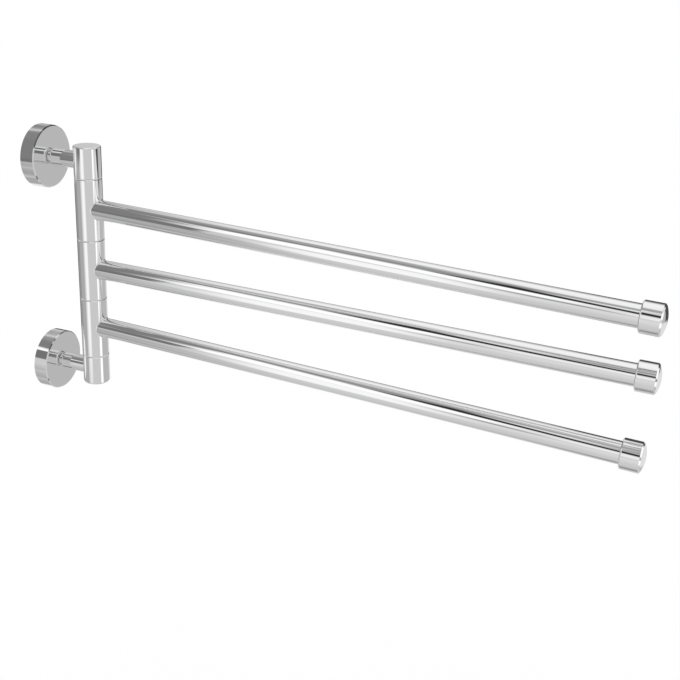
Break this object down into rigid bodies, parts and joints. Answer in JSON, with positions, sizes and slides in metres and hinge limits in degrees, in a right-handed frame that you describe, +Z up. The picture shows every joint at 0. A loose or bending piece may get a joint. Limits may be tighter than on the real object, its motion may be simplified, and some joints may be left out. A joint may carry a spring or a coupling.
{
  "type": "swing arm towel bar",
  "caption": "Wall-mounted towel bar with round arms that swing separately about one upright pivot column, held off the wall by posts on round rosettes.",
  "frame": {"origin": "on the wall, midway between the two wall plates", "axes": "+Z up, +Y into the wall, so the bar stands out along -Y; +X to the right for someone who faces the wall"},
  "size_m": [0.0809, 0.4946, 0.2274],
  "materials": {
    "chrome": "polished",
    "steel": "zinc plated",
    "nylon": "plain"
  },
  "bodies": {
    "wall_mount": {"upper_wall_plate": "steel", "lower_wall_plate": "steel", "upper_rosette": "chrome", "lower_rosette": "chrome", "upper_post": "chrome", "lower_post": "chrome", "grub_screws": "steel", "post_screws": "steel", "top_end_section": "chrome", "bottom_end_section": "chrome", "pivot_shaft": "steel", "disc_spring": "steel", "nut_washer": "steel", "shaft_nut": "steel", "bottom_plug": "chrome", "top_thrust_washer": "nylon", "upper_thrust_washer": "nylon", "lower_thrust_washer": "nylon", "bottom_thrust_washer": "nylon"},
    "upper_arm": {"upper_sleeve": "chrome", "upper_arm_top_bush": "nylon", "upper_arm_bottom_bush": "nylon", "upper_arm_tube": "chrome", "upper_end_cap": "chrome"},
    "middle_arm": {"middle_sleeve": "chrome", "middle_arm_top_bush": "nylon", "middle_arm_bottom_bush": "nylon", "middle_arm_tube": "chrome", "middle_end_cap": "chrome"},
    "lower_arm": {"lower_sleeve": "chrome", "lower_arm_top_bush": "nylon", "lower_arm_bottom_bush": "nylon", "lower_arm_tube": "chrome", "lower_end_cap": "chrome"}
  },
  "joints": [
    {"name": "upper_arm_pivot", "type": "hinge", "parent": "wall_mount", "child": "upper_arm", "pos_m": [0, -0.045, 0.0506], "axis": [0, 0, 1], "range_deg": [-84.2, 95.8]},
    {"name": "middle_arm_pivot", "type": "hinge", "parent": "wall_mount", "child": "middle_arm", "pos_m": [0, -0.045, 0], "axis": [0, 0, 1], "range_deg": [-87.6, 92.4]},
    {"name": "lower_arm_pivot", "type": "hinge", "parent": "wall_mount", "child": "lower_arm", "pos_m": [0, -0.045, -0.0506], "axis": [0, 0, 1], "range_deg": [-85.5, 94.5]}
  ]
}
